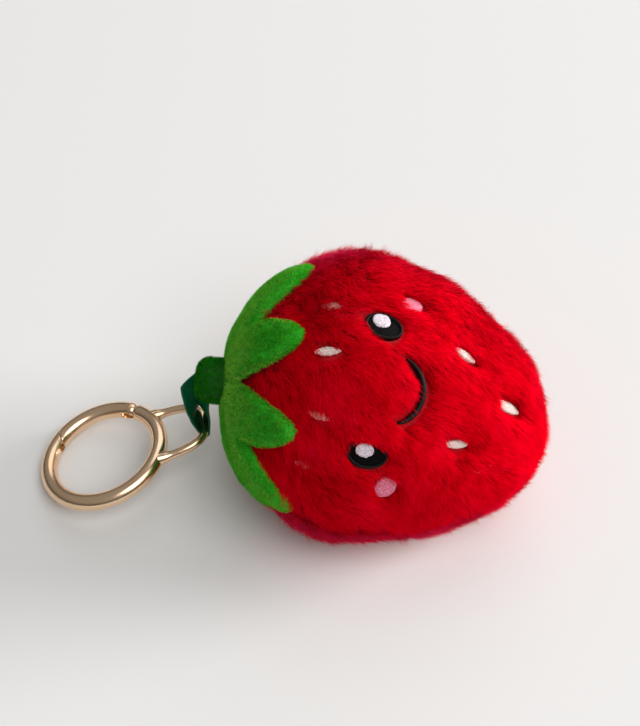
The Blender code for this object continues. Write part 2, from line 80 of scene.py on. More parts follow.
# Calyx
LEAVES = 8
LEAF_TIP = math.radians(51.5)
SIDE_LEAF_REACH = math.radians(6)
NOTCH = math.radians(27)
CENTRE_NOTCH = math.radians(9.5)
LEAF_ROUNDING = 0.36
CALYX_DEPTH = (3.0 * MM, 3.1 * MM)
CALYX_HALF = 1.5 * MM

# Fur
PILE = 5.6 * MM
SKIN_ROWS, SKIN_COLS = 150, 200
POLE_GAP = 0.012
SKIN_DEPTH = 3.3 * MM
SKIN_SEAT = 0.6

# Clasp
RING_RADIUS = 15.9 * MM
RING_WIRE = 2.25 * MM
RING_CENTRE = Vector((-75.0, -1.4, 6.55)) * MM
RING_TILT = math.radians(15.6)
RAISED_SIDE = math.radians(-17.1)
LOOP_DIRECTION = math.radians(12)
LOOP_REACH = 28.7 * MM
LOOP_START = 14.5 * MM
LOOP_HALF_WIDTH = 8.0 * MM
LOOP_SQUARENESS = 3.2
LOOP_WIRE = 1.2 * MM
GATE_SEAM = math.radians(45)
GATE_PIVOT = math.radians(54.4)
LATCH = math.radians(135)
GAP = 0.3 * MM
TONGUE = 1.4 * MM
SLOT = TONGUE + 2 * GAP
TONGUE_RADIUS = 1.5 * MM
PIN_RADIUS = 0.65 * MM
NOSE_REACH = 1.3 * MM
NOSE_OUTWARD = 0.9 * MM
NOSE_INWARD = 1.6 * MM


def clasp_matrix():
    axis = Vector((math.sin(RAISED_SIDE), -math.cos(RAISED_SIDE), 0))
    turn = Matrix.Rotation(RING_TILT, 4, axis) @ Matrix.Rotation(LOOP_DIRECTION, 4, "Z")
    return Matrix.Translation(RING_CENTRE) @ turn @ Matrix.Translation((LOOP_REACH, 0, 0))


CLASP = clasp_matrix()


# ---------------------------------------------------------------- camera, light and floor


def place_camera():
    camera = bpy.data.objects.new("camera", bpy.data.cameras.new("camera"))
    bpy.context.scene.collection.objects.link(camera)
    camera.data.lens = 70.5
    camera.data.sensor_width = 36
    camera.data.clip_end = 10
    camera.location = Vector((-16.2, -220.1, 327.1)) * MM
    camera.rotation_euler = (math.radians(90 - 52), 0, 0)
    bpy.context.scene.camera = camera


def area_light(name, place, aim, size, power, colour=(1, 1, 1)):
    light = bpy.data.lights.new(name, "AREA")
    light.shape = "DISK"
    light.size = size
    light.energy = power
    light.color = colour
    lamp = bpy.data.objects.new(name, light)
    bpy.context.scene.collection.objects.link(lamp)
    lamp.location = place
    lamp.rotation_euler = (Vector(place) - Vector(aim)).to_track_quat("Z", "Y").to_euler()


def build_studio():
    world = bpy.data.worlds.new("studio")
    bpy.context.scene.world = world
    world.use_nodes = True
    tree = world.node_tree
    split = tree.nodes.new("ShaderNodeSeparateXYZ")
    link(tree, tree.nodes.new("ShaderNodeTexCoord").outputs["Generated"], split.inputs["Vector"])
    ramp = tree.nodes.new("ShaderNodeValToRGB")
    ramp.color_ramp.elements[0].position = 0.06
    ramp.color_ramp.elements[0].color = (0.05, 0.045, 0.04, 1)
    ramp.color_ramp.elements[1].position = 0.55
    ramp.color_ramp.elements[1].color = (1.0, 0.99, 0.98, 1)
    link(tree, split.outputs["Z"], ramp.inputs["Fac"])
    link(tree, ramp.outputs["Color"], tree.nodes["Background"].inputs["Color"])
    tree.nodes["Background"].inputs["Strength"].default_value = 0.27
    area_light("window", (4.52, 0.96, 1.32), (0, 0, 0.03), 2.4, 265, (1.0, 0.992, 0.98))
    area_light("sky", (0.77, -0.92, 2.08), (0, 0, 0.02), 2.0, 26, (1.0, 0.995, 0.99))
    area_light("card", (0.6, 1.6, 1.7), (0, 0, 0.03), 2.2, 11, (1.0, 0.99, 0.98))
    bpy.context.scene.view_settings.view_transform = "Standard"
    mesh = bpy.data.meshes.new("floor")
    mesh.from_pydata([(-4, -4, 0), (4, -4, 0), (4, 4, 0), (-4, 4, 0)], [], [(0, 1, 2, 3)])
    floor = bpy.data.objects.new("floor", mesh)
    bpy.context.scene.collection.objects.link(floor)
    material = bpy.data.materials.new("floor_paper")
    material.use_nodes = True
    shader = material.node_tree.nodes["Principled BSDF"]
    shader.inputs["Base Color"].default_value = (0.86, 0.857, 0.85, 1)
    shader.inputs["Roughness"].default_value = 0.8
    mesh.materials.append(material)


# ---------------------------------------------------------------- materials


def link(tree, source, target):
    tree.links.new(source, target)


class Paint:
    """A material with a Principled shader, and helpers that add texture nodes to it."""

    def __init__(self, name, colour, roughness, metallic=0.0, **sockets):
        self.material = bpy.data.materials.new(name)
        self.material.use_nodes = True
        self.tree = self.material.node_tree
        self.shader = self.tree.nodes["Principled BSDF"]
        self.shader.inputs["Base Color"].default_value = (*colour, 1)
        self.shader.inputs["Roughness"].default_value = roughness
        self.shader.inputs["Metallic"].default_value = metallic
        for socket, value in sockets.items():
            self.shader.inputs[socket.replace("_", " ")].default_value = value

    def place(self):
        return self.tree.nodes.new("ShaderNodeTexCoord").outputs["Object"]

    def noise(self, scale, detail=3.0, stretch=(1, 1, 1)):
        mapping = self.tree.nodes.new("ShaderNodeMapping")
        mapping.inputs["Scale"].default_value = stretch
        link(self.tree, self.place(), mapping.inputs["Vector"])
        noise = self.tree.nodes.new("ShaderNodeTexNoise")
        noise.inputs["Scale"].default_value = scale
        noise.inputs["Detail"].default_value = detail
        link(self.tree, mapping.outputs["Vector"], noise.inputs["Vector"])
        return noise.outputs["Fac"]

    def ramp(self, factor, stops):
        ramp = self.tree.nodes.new("ShaderNodeValToRGB")
        elements = ramp.color_ramp.elements
        while len(elements) < len(stops):
            elements.new(0.5)
        for element, (position, colour) in zip(elements, stops):
            element.position = position
            element.color = (*colour, 1)
        link(self.tree, factor, ramp.inputs["Fac"])
        return ramp.outputs["Color"]

    def colour(self, factor, stops):
        link(self.tree, self.ramp(factor, stops), self.shader.inputs["Base Color"])
        return self

    def roughness(self, factor, low, high):
        span = self.tree.nodes.new("ShaderNodeMapRange")
        span.inputs["To Min"].default_value = low
        span.inputs["To Max"].default_value = high
        link(self.tree, factor, span.inputs["Value"])
        link(self.tree, span.outputs["Result"], self.shader.inputs["Roughness"])
        return self

    def bump(self, factor, strength, distance):
        bump = self.tree.nodes.new("ShaderNodeBump")
        bump.inputs["Strength"].default_value = strength
        bump.inputs["Distance"].default_value = distance
        link(self.tree, factor, bump.inputs["Height"])
        link(self.tree, bump.outputs["Normal"], self.shader.inputs["Normal"])
        return self


# Colour slots, darkest first: strands take them by random tone, and each strand steps a slot darker at its
# root and lighter at its tip, which is painted shade and highlight
FUR_SHADES = [
    (0.55, 0.0, 0.005), (0.70, 0.0, 0.006), (0.82, 0.0, 0.008), (0.91, 0.0, 0.011),
    (0.96, 0.0, 0.015), (0.98, 0.001, 0.024), (0.99, 0.006, 0.05),
]
VELVET_SHADES = [
    (0.008, 0.34, 0.004), (0.016, 0.50, 0.007), (0.035, 0.66, 0.014), (0.08, 0.78, 0.035),
    (0.18, 0.86, 0.10),
]
STEM_SHADES = [(0.002, 0.12, 0.001), (0.004, 0.17, 0.002), (0.008, 0.24, 0.003), (0.02, 0.34, 0.008)]


def shade_set(name, shades, roughness, sheen, tint):
    paints = []
    for number, shade in enumerate(shades):
        paint = Paint(f"{name}_{number}", shade, roughness, Sheen_Weight=sheen, Sheen_Roughness=0.32)
        paint.shader.inputs["Sheen Tint"].default_value = (*tint, 1)
        paint.shader.inputs["Specular IOR Level"].default_value = 0.0
        paints.append(paint.material)
    return paints


# ---------------------------------------------------------------- meshes from arrays


def to_world(points, matrix=PLUSH):
    turn = np.array(matrix.to_3x3())
    return points @ turn.T + np.array(matrix.translation)


def unit(vectors):
    return vectors / np.maximum(np.linalg.norm(vectors, axis=-1, keepdims=True), 1e-12)


def new_object(name, mesh, materials=(), smooth=True):
    obj = bpy.data.objects.new(name, mesh)
    bpy.context.scene.collection.objects.link(obj)
    for material in materials:
        mesh.materials.append(material)
    if smooth:
        mesh.shade_smooth()
    return obj


def faces_mesh(name, points, corners, sizes, slots=None):
    """A mesh from vertex positions, the vertex of each face corner, and each face's corner count."""
    mesh = bpy.data.meshes.new(name)
    mesh.vertices.add(len(points))
    mesh.vertices.foreach_set("co", np.ascontiguousarray(points, np.float32).ravel())
    mesh.loops.add(len(corners))
    mesh.loops.foreach_set("vertex_index", np.ascontiguousarray(corners, np.int32))
    mesh.polygons.add(len(sizes))
    starts = np.concatenate([[0], np.cumsum(sizes)[:-1]])
    mesh.polygons.foreach_set("loop_start", starts.astype(np.int32))
    if slots is not None:
        mesh.polygons.foreach_set("material_index", slots.astype(np.int32))
    mesh.update(calc_edges=True)
    mesh.validate()
    return mesh


def grid_faces(rows, cols, wrap, first=0):
    """Quads over a grid of rows by cols vertices, closed round its columns if wrap."""
    row, col = np.meshgrid(np.arange(rows - 1), np.arange(cols if wrap else cols - 1), indexing="ij")
    after = (col + 1) % cols
    quads = np.stack(
        [row * cols + col, row * cols + after, (row + 1) * cols + after, (row + 1) * cols + col], -1
    )
    return quads.reshape(-1, 4) + first


def capsule_mesh(name, points):
    """A closed mesh over rings of points[row, col], with the first and last ring capped by its middle."""
    rows, cols = points.shape[:2]
    ends = np.stack([points[0].mean(0), points[-1].mean(0)])
    turn = np.arange(cols)
    after = (turn + 1) % cols
    top = np.stack([after, turn, np.full(cols, rows * cols)], -1)
    base = (rows - 1) * cols
    bottom = np.stack([base + turn, base + after, np.full(cols, rows * cols + 1)], -1)
    quads = grid_faces(rows, cols, True)
    corners = np.concatenate([quads.ravel(), top.ravel(), bottom.ravel()])
    sizes = np.concatenate([np.full(len(quads), 4), np.full(2 * cols, 3)])
    mesh = faces_mesh(name, np.concatenate([points.reshape(-1, 3), ends]), corners, sizes)
    outward(mesh)
    return mesh


def slab_mesh(name, top, bottom, wrap=False):
    """A closed mesh between two grids of the same size, joined along their borders."""
    rows, cols = top.shape[:2]
    count = rows * cols
    upper = grid_faces(rows, cols, wrap)
    lower = grid_faces(rows, cols, wrap, count)[:, ::-1]
    borders = [np.arange(cols), (rows - 1) * cols + np.arange(cols)]
    if wrap:
        borders = [np.append(b, b[0]) for b in borders]
    else:
        borders += [np.arange(rows) * cols, np.arange(rows) * cols + cols - 1]
    sides = [
        np.stack([b[:-1], b[1:], b[1:] + count, b[:-1] + count], -1) for b in borders
    ]
    quads = np.concatenate([upper, lower, *sides])
    points = np.concatenate([top.reshape(-1, 3), bottom.reshape(-1, 3)])
    mesh = faces_mesh(name, points, quads.ravel(), np.full(len(quads), 4))
    outward(mesh)
    return mesh


def outward(mesh):
    bm = bmesh.new()
    bm.from_mesh(mesh)
    bmesh.ops.recalc_face_normals(bm, faces=bm.faces[:])
    bm.to_mesh(mesh)
    bm.free()


# ---------------------------------------------------------------- the body's surface


def profile(share):
    share = np.clip(share, 0, 1)
    wave = np.maximum(np.sin(np.pi * share**PEAK_POWER), 0)
    return wave ** (STEM_BLUNTNESS - BLUNTNESS_FALL * share)


def calyx_seat(share):
    fade = np.clip((SEAT_START - share) / SEAT_FADE, 0, 1)
    return CALYX_SEAT * fade * fade * (3 - 2 * fade)


def tip_sag(share):
    """How far the body leans to one side towards its tip."""
    way = np.clip((share - 0.45) / 0.45, 0, 1)
    return TIP_SAG * way * way * (3 - 2 * way)


def body_point(share, turn, depth=0.0):
    width = profile(share)
    bulge = np.where(np.sin(turn) > 0, FACE_BULGE, BACK_BULGE)
    return np.stack(
        np.broadcast_arrays(
            (share - 0.5) * (BODY_LENGTH - 2 * depth),
            (BODY_HALF_WIDTH - depth) * width * np.cos(turn) - tip_sag(share),
            (bulge - depth) * width * np.sin(turn),
        ),
        -1,
    )


def latitude_share(latitude):
    return (1 - np.cos(latitude)) / 2


def ripple(points, size, seed):
    """Smooth noise of about -1 to 1 whose features are about size across."""
    rng = np.random.default_rng(seed)
    total = np.zeros(points.shape[:-1])
    for _ in range(6):
        wave = rng.normal(size=3)
        wave *= 2 * math.pi / size / np.linalg.norm(wave) * rng.uniform(0.6, 1.2)
        total += np.sin(points @ wave + rng.uniform(0, 2 * math.pi))
    return total / 3


def surface_frame(along, across, face=1, spin=0.0):
    """A frame on the envelope whose X is tipward, turned by spin degrees, and whose Z is outward."""
    share = along / BODY_LENGTH + 0.5
    turn = face * math.acos((across + float(tip_sag(share))) / (BODY_HALF_WIDTH * float(profile(share))))
    step = 0.01

    def at(s, t):
        return Vector(body_point(np.float64(s), np.float64(t)))

    out = (at(share, turn + step) - at(share, turn - step)).cross(
        at(share - step, turn) - at(share + step, turn)
    ).normalized()
    spot = at(share, turn)
    if out.dot(spot) < 0:
        out = -out
    tipward = Vector((1, 0, 0))
    tipward = (tipward - out * tipward.dot(out)).normalized()
    made = Matrix((tipward, out.cross(tipward), out)).transposed().to_4x4()
    made.translation = spot
    return made @ Matrix.Rotation(math.radians(spin), 4, "Z")


# ---------------------------------------------------------------- embroidery places

SEED = (3.3 * MM, 1.15 * MM)
CLEAR = (1.0, 1.0, 0.0)
HALF_CLEAR = (0.9, 0.5, -0.4)
SLIVER = (0.7, 0.2, -0.6)
SPECK = (0.4, 0.1, -0.6)
MOTIFS = {
    # name: place along and across, face, spin, sizes, and how much of it the pile leaves clear
    "eye_left": (-5.1, 17.1, 1, -12, (5.0 * MM, 3.5 * MM), CLEAR),
    "eye_right": (-6.6, -16.3, 1, -7, (5.3 * MM, 3.8 * MM), (0.97, 0.86, -0.14)),
    "cheek_left": (2.2, 23.8, 1, -25, (3.3 * MM, 2.2 * MM), (0.9, 0.72, 0.3)),
    "cheek_right": (-0.4, -24.4, 1, 20, (3.0 * MM, 2.6 * MM), CLEAR),
    "seed_front_1": (-19.3, 9.2, 1, 5, SEED, CLEAR),
    "seed_front_2": (-20.3, -7.7, 1, -16, SEED, HALF_CLEAR),
    "seed_front_3": (-18.4, 23.0, 1, 0, SEED, SPECK),
    "seed_front_4": (-21.6, -22.1, 1, -10, SEED, SLIVER),
    "seed_front_5": (17.4, 12.3, 1, -22, SEED, (1.0, 0.8, -0.1)),
    "seed_front_6": (16.3, -11.4, 1, 0, SEED, CLEAR),
    "seed_front_7": (25.0, -17.1, 1, 12, SEED, (0.8, 0.3, -0.3)),
    "seed_front_8": (30.3, 0, 1, -14, (4.2 * MM, 1.4 * MM), CLEAR),
    "seed_back_1": (-16, 19, -1, 0, SEED, CLEAR),
    "seed_back_2": (-16, -24, -1, 0, SEED, CLEAR),
    "seed_back_3": (4, 27, -1, 0, SEED, CLEAR),
    "seed_back_4": (13, 15, -1, 0, SEED, CLEAR),
    "seed_back_5": (13, -20, -1, 0, SEED, CLEAR),
    "seed_back_6": (28, 2, -1, 0, SEED, CLEAR),
}
FRAMES = {
    name: surface_frame(along * MM, across * MM, face, spin)
    for name, (along, across, face, spin, _, _) in MOTIFS.items()
}
SMILE_FRAME = surface_frame(4 * MM, 0, 1)
SMILE_CENTRE = np.array([-6.4 * MM, 0.7 * MM])
SMILE_RADIUS = 8.4 * MM
SMILE_ANGLES = (math.radians(-73), math.radians(66))


def pad_distance(points, name, clear=False):
    """Distance in metres outside an oval motif's edge, or outside what the pile leaves clear of it."""
    local = to_world(points, FRAMES[name].inverted())
    size = np.array(MOTIFS[name][4])
    flat = local[..., :2]
    if clear:
        reach, breadth, shift = MOTIFS[name][5]
        flat = flat - np.array([0, shift]) * size
        size = size * np.array([reach, breadth])
    share = np.linalg.norm(flat / size, axis=-1)
    return np.where(np.abs(local[..., 2]) > 9 * MM, 1.0, (share - 1) * size.min())


def smile_distance(points):
    local = to_world(points, SMILE_FRAME.inverted())
    x = local[..., 0] - SMILE_CENTRE[0]
    y = local[..., 1] - SMILE_CENTRE[1]
    angle = np.clip(np.arctan2(y, x), *SMILE_ANGLES)
    gap = np.hypot(x - SMILE_RADIUS * np.cos(angle), y - SMILE_RADIUS * np.sin(angle))
    return np.where(np.abs(local[..., 2]) > 9 * MM, 1.0, gap - 0.7 * MM)


def stitch_distance(points, clear=False):
    """Distance in metres from the nearest stitching, negative on it."""
    nearest = smile_distance(points) - 0.35 * MM * clear
    for name in MOTIFS:
        nearest = np.minimum(nearest, pad_distance(points, name, clear))
    return nearest


def seam_distance(points):
    return np.abs(points[..., 2] - SEAM_SLOPE * points[..., 1] - SEAM_RISE)


# ---------------------------------------------------------------- strands


def sample_grid(points, count, rng, wrap=True):
    """Random places on a grid surface, even by area, with normals and grid coordinates."""
    if wrap:
        points = np.concatenate([points, points[:, :1]], 1)
    a, b, c, d = points[:-1, :-1], points[:-1, 1:], points[1:, 1:], points[1:, :-1]
    normal = np.cross(c - a, d - b)
    area = np.linalg.norm(normal, axis=-1)
    chosen = rng.choice(area.size, count, p=(area / area.sum()).ravel())
    row, col = np.unravel_index(chosen, area.shape)
    s, t = rng.random((2, count, 1))
    low = a[row, col] * (1 - t) + b[row, col] * t
    high = d[row, col] * (1 - t) + c[row, col] * t
    place = low * (1 - s) + high * s
    return place, unit(normal[row, col]), row + s[:, 0], col + t[:, 0]


def tufts(root, normal, flow, length, lean, children, spread, gather, segments, rng, jitter=0.16):
    """Centrelines of strands in tufts, as an array [strand, point, xyz], with each strand's sideways
    direction and normal.

    lean is the angle from the normal at root and tip, and gather how far a tuft's tips close up."""
    count = len(root)
    flow = unit(flow - normal * (flow * normal).sum(-1, keepdims=True))
    side = np.cross(normal, flow)

    def spread_out(array):
        return np.repeat(array, children, 0)

    total = count * children
    offset = rng.normal(0, spread, (total, 2))
    normal, flow, side, length = map(spread_out, (normal, flow, side, length))
    slide = offset[:, :1] * flow + offset[:, 1:] * side
    twist = rng.normal(0, jitter, (total, 1))
    heading = flow * np.cos(twist) + side * np.sin(twist)
    length = length * rng.uniform(0.75, 1.1, total)
    first, last = (spread_out(np.broadcast_to(x, count)) for x in lean)
    tip = rng.normal(0, jitter * 0.6, total)
    line = [spread_out(root) + slide]
    for step in range(segments):
        angle = (first + (last - first) * step / max(segments - 1, 1) + tip)[:, None]
        move = normal * np.cos(angle) + heading * np.sin(angle)
        closed = gather * ((step + 1) ** 2 - step**2) / segments**2
        line.append(line[-1] + move * length[:, None] / segments - slide * closed)
    return np.stack(line, 1), np.cross(normal, heading), normal


def strand_mesh(name, line, side, normal, width, slots, materials, rng, roll=0.6, soft=0.7):
    """Flat tapered strands along centrelines, shaded partly as the cloth that they grow from, with painted
    shade and highlight: each strand steps a colour slot darker at its root and lighter at its tip.
    """
    count, points = line.shape[:2]
    segments = points - 1
    axis = unit(line[:, -1] - line[:, 0])
    turn = rng.normal(0, roll, (count, 1))
    side = unit(side * np.cos(turn) + np.cross(axis, side) * np.sin(turn))
    taper = np.linspace(1, 0.5, segments)[None, :, None]
    half = side[:, None] * (width[:, None, None] * taper / 2)
    body = line[:, :-1]
    sides = np.stack([body - half, body + half], 2).reshape(count, -1, 3)
    verts = np.concatenate([sides, line[:, -1:]], 1)
    per = 2 * segments + 1
    quads = [[2 * k, 2 * k + 2, 2 * k + 3, 2 * k + 1] for k in range(segments - 1)]
    pattern = np.array(sum(quads, []) + [2 * segments - 2, 2 * segments, 2 * segments - 1])
    corners = (np.arange(count)[:, None] * per + pattern).ravel()
    sizes = np.tile([4] * (segments - 1) + [3], count)
    # painted shade and highlight: the root face takes a darker colour slot and the tip face a lighter one
    lift = np.round(np.linspace(-1, 1, segments)).astype(int)
    shade = np.clip(slots[:, None] + lift, 0, len(materials) - 1).ravel()
    mesh = faces_mesh(name, verts.reshape(-1, 3), corners, sizes, shade)
    own = unit(np.cross(axis, side))
    shading = unit(normal * soft + own * (1 - soft))
    mesh.shade_smooth()
    mesh.normals_split_custom_set_from_vertices(np.repeat(shading, per, 0))
    return new_object(name, mesh, materials, smooth=False)


def strand_pieces(
    name, line, side, normal, width, slots, materials, parent, rng, limit=39000, roll=0.6, soft=0.7
):
    """Strands in pieces small enough to keep whole, each a child of parent."""
    order = np.argsort(line[:, 0, 0], kind="stable")
    for number, part in enumerate(np.array_split(order, math.ceil(len(order) / limit)), 1):
        piece = strand_mesh(
            f"{name}_{number}", line[part], side[part], normal[part], width[part], slots[part], materials,
            rng, roll, soft,
        )
        piece.parent = parent
        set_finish(piece, parent["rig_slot"])


# ---------------------------------------------------------------- plush


def skin_depth(points, share):
    """How deep the cloth under the pile lies below the body's envelope."""
    depth = SKIN_DEPTH + SKIN_SEAT * calyx_seat(share)
    depth = depth - 0.9 * MM * np.clip((share - 0.75) / 0.2, 0, 1)
    depth = depth + 0.5 * MM * ripple(points, 24 * MM, 3)
    depth = depth + 1.5 * MM * np.exp(-((seam_distance(points) / (1.7 * MM)) ** 2))
    near = np.clip(1 - stitch_distance(points, True) / (3.0 * MM), 0, 1.2)
    return depth + 0.6 * MM * near * near * (3 - 2 * np.minimum(near, 1))


def skin_grid(rows, cols):
    latitude = np.linspace(POLE_GAP, math.pi - POLE_GAP, rows)[:, None]
    turn = np.linspace(0, 2 * math.pi, cols, endpoint=False)[None]
    share = latitude_share(latitude)
    envelope = body_point(share, turn)
    return body_point(share, turn, skin_depth(envelope, share))


def pressed(points, floor=0.0, soft=2.0 * MM):
    """Points in the row frame, with what would go under the floor pressed flat on it."""
    height = points[..., 2] - floor
    lifted = np.where(height < soft, soft * np.exp(np.minimum(height / soft - 1, 0)), height)
    out = points.copy()
    out[..., 2] = floor + lifted
    return out


def fur_flow(points):
    """Which way the pile is brushed: over each panel from seam to seam, leaning to the tip."""
    turn = np.arctan2(points[..., 2], points[..., 1])
    face = np.where(points[..., 2] > SEAM_SLOPE * points[..., 1] + SEAM_RISE, 1.0, -1.0)
    round_body = np.stack([np.zeros_like(turn), -np.sin(turn) * face, np.cos(turn) * face], -1)
    tipward = np.array([1.0, 0, 0])
    angle = 0.8 + 0.35 * ripple(points, 30 * MM, 11) + 0.2 * ripple(points, 10 * MM, 12)
    return round_body * np.cos(angle)[..., None] + tipward * np.sin(angle)[..., None]


def build_plush():
    grid = skin_grid(SKIN_ROWS, SKIN_COLS)
    skin = capsule_mesh("plush_skin", pressed(to_world(grid), 1.2 * MM))
    paint = Paint("fur_base", (0.6, 0.0, 0.006), 0.9)
    paint.colour(paint.noise(420, 4), [(0.35, (0.45, 0.0, 0.005)), (0.7, (0.75, 0.0, 0.010))])
    skin = new_object("plush_skin", skin, [paint.material])
    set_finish(skin, "fur")
    rng = np.random.default_rng(21)
    guides = 22000
    children = 13
    root, normal, row, col = sample_grid(grid, guides, rng)
    share = latitude_share(POLE_GAP + (math.pi - 2 * POLE_GAP) * row / (SKIN_ROWS - 1))
    turn = 2 * math.pi * col / SKIN_COLS
    covered = latitude_share(calyx_edge(turn) - 0.09)
    keep = share > covered
    root, normal = root[keep], normal[keep]
    stitch = stitch_distance(root + normal * SKIN_DEPTH, True)
    seam = seam_distance(root)
    length = PILE * (1 + 0.1 * ripple(root, 14 * MM, 5) + 0.08 * ripple(root, 5 * MM, 6))
    length = length * (1 - 0.3 * np.exp(-((seam / (1.8 * MM)) ** 2)))
    length = length * np.clip(0.5 + stitch / (3.0 * MM), 0.5, 1)
    flow = fur_flow(root)
    lift = rng.uniform(0, 1, len(root)) < 0.03
    first = np.radians(np.where(lift, 20, 36) + 4 * ripple(root, 8 * MM, 8))
    last = np.radians(np.where(lift, 50, 80) + 5 * ripple(root, 6 * MM, 9))
    line, side, out = tufts(root, normal, flow, length, (first, last), children, 0.62 * MM, 0.2, 3, rng)
    bare = stitch_distance(line[:, 0] + out * SKIN_DEPTH, True) < 0.1 * MM
    over = np.minimum(stitch_distance(line[:, -1], True), stitch_distance(line[:, 2], True)) < -0.3 * MM
    kept = ~bare & ~over
    line, side, out = line[kept], side[kept], out[kept]
    base = 1.9 + 0.9 * ripple(line[:, 0], 13 * MM, 31) + 0.7 * ripple(line[:, 0], 3 * MM, 32)
    slots = np.round(base + rng.normal(0, 0.7, len(line))).astype(int)
    width = rng.uniform(0.11, 0.19, len(line)) * MM
    line = pressed(to_world(line), 0.15 * MM)
    turned = np.array(PLUSH.to_3x3()).T
    paints = shade_set("fur", FUR_SHADES, 0.75, 1.0, (1.0, 0.03, 0.14))
    strand_pieces("plush_fur", line, side @ turned, out @ turned, width, slots, paints, skin, rng, soft=0.88)
    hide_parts("front_panel", "back_panel", "stuffing")
    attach(skin, "plush")


# ---------------------------------------------------------------- calyx and stem


def calyx_edge(turn):
    """Latitude of the calyx's edge: straight-sided leaves with rounded tips."""
    place = (turn / (2 * math.pi) * LEAVES) % 1.0
    from_centre = np.abs(2 * place - 1)
    notch = NOTCH - (NOTCH - CENTRE_NOTCH) * np.maximum(np.sin(turn), 0) ** 8
    tip = LEAF_TIP + SIDE_LEAF_REACH * np.abs(np.cos(turn)) ** 2
    rounded = np.sqrt(from_centre**2 + LEAF_ROUNDING**2) - LEAF_ROUNDING
    return tip - (tip - notch) * rounded / (math.hypot(1, LEAF_ROUNDING) - LEAF_ROUNDING)


def calyx_grids(rows, cols):
    """Outer and inner faces of the padded star, whose thickness rounds off towards its edge."""
    turn = np.linspace(0, 2 * math.pi, cols, endpoint=False)[None]
    way = 1 - (1 - np.linspace(0, 1, rows)[:, None]) ** 1.7
    edge = calyx_edge(turn)
    latitude = 0.03 + (edge - 0.03) * way
    share = latitude_share(latitude)

    near, far = CALYX_DEPTH
    depth = near + (far - near) * np.clip(share / 0.2, 0, 1)

    def at(height):
        return body_point(share, turn, depth - height)

    middle = at(0)
    rim = middle[-1]
    gap = np.full(middle.shape[:2], 1.0)
    for start in range(0, cols, 16):
        span = middle[:, start : start + 16, None] - rim[None, None]
        gap[:, start : start + 16] = np.linalg.norm(span, axis=-1).min(-1)
    inside = np.clip(1 - gap / (1.9 * MM), 0, 1)
    puff = CALYX_HALF * np.sqrt(1 - inside**2)
    puff = puff * (1 + 0.12 * ripple(middle, 9 * MM, 44))
    return at(puff), at(-puff * 0.85)


def velvet_flow(points):
    """Short pile runs out along the leaves."""
    away = points * np.array([0, 1, 1])
    return unit(away) + np.array([0.9, 0, 0])


def build_calyx(velvet):
    rows, cols = ((34, 512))
    outer, inner = calyx_grids(rows, cols)
    calyx = slab_mesh("calyx", to_world(outer), to_world(inner), wrap=True)
    paint = Paint("velvet_base", (0.02, 0.16, 0.012), 0.9)
    paint.colour(paint.noise(900, 3), [(0.3, (0.012, 0.32, 0.006)), (0.7, (0.03, 0.52, 0.012))])
    calyx = new_object("calyx", calyx, [paint.material])
    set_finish(calyx, "velvet")
    rng = np.random.default_rng(5)
    turned = np.array(PLUSH.to_3x3()).T
    for word, grid, guides in (("outer", outer, 22000), ("inner", inner[::-1], 5000)):
        root, normal, _, _ = sample_grid(grid, guides, rng)
        length = 0.9 * MM * (1 + 0.15 * ripple(root, 5 * MM, 61))
        flow = velvet_flow(root) + 0.5 * rng.normal(size=root.shape)
        lean = (np.radians(18.0), np.radians(38.0))
        line, side, out = tufts(root, normal, flow, length, lean, 6, 0.22 * MM, 0.25, 2, rng, 0.3)
        base = 2 + 0.7 * ripple(line[:, 0], 6 * MM, 71) + rng.normal(0, 0.7, len(line))
        width = rng.uniform(0.08, 0.14, len(line)) * MM
        line = pressed(to_world(line), 0.1 * MM, 0.5 * MM)
        slots = np.round(base).astype(int)
        name = f"calyx_pile_{word}"
        strand_pieces(name, line, side @ turned, out @ turned, width, slots, velvet, calyx, rng, 60000, 0.9)
    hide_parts("calyx_upper", "calyx_wadding", "calyx_lining")
    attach(calyx, "plush")


def build_stem(velvet):
    rows, cols = 40, 64
    turn = np.linspace(0, 2 * math.pi, cols, endpoint=False)[None]
    way = np.linspace(0, 1, rows)[:, None]
    radius, base, end, rounding = 5.4 * MM, 40.5 * MM, 48.2 * MM, 3.2 * MM
    straight = end - rounding - base
    arc = rounding * math.pi / 2
    flat = radius - rounding
    run = way * (straight + arc + flat * 0.97)
    bend = np.clip((run - straight) / rounding, 0, math.pi / 2)
    reach = np.where(run < straight, run, straight + rounding * np.sin(bend))
    out = radius - rounding * (1 - np.cos(bend)) - np.maximum(run - straight - arc, 0)
    out = out * (1 + 0.03 * np.sin(3 * turn + 1))
    grid = np.stack(
        np.broadcast_arrays(-(base + reach), out * np.cos(turn) * 1.02, out * np.sin(turn) * 0.98), -1
    )
    paint = Paint("stem_base", (0.01, 0.09, 0.006), 0.9)
    paint.colour(paint.noise(900, 3), [(0.3, (0.005, 0.05, 0.004)), (0.7, (0.018, 0.14, 0.01))])
    stem = new_object("stem", capsule_mesh("stem", to_world(grid)), [paint.material])
    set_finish(stem, "velvet")
    rng = np.random.default_rng(6)
    root, normal, _, _ = sample_grid(grid, 1900, rng)
    centre = root * np.array([0, 1, 1])
    outwards = centre + np.array([-1 * MM, 0, 0])
    normal = np.where((normal * outwards).sum(-1, keepdims=True) < 0, -normal, normal)
    flow = np.array([-1.0, 0, 0]) + 0.5 * rng.normal(size=root.shape)
    lean = (np.radians(18.0), np.radians(38.0))
    length = np.full(len(root), 0.9 * MM)
    line, side, out = tufts(root, normal, flow, length, lean, 6, 0.22 * MM, 0.25, 2, rng, 0.3)
    slots = np.round(0.8 + rng.normal(0, 0.7, len(line))).astype(int)
    width = rng.uniform(0.08, 0.14, len(line)) * MM
    turned = np.array(PLUSH.to_3x3()).T
    line = to_world(line)
    strand_pieces("stem_pile", line, side @ turned, out @ turned, width, slots, velvet, stem, rng, 60000, 0.9)
    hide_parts("stem_cover", "stem_filling")
    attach(stem, "plush")


# ---------------------------------------------------------------- stitching


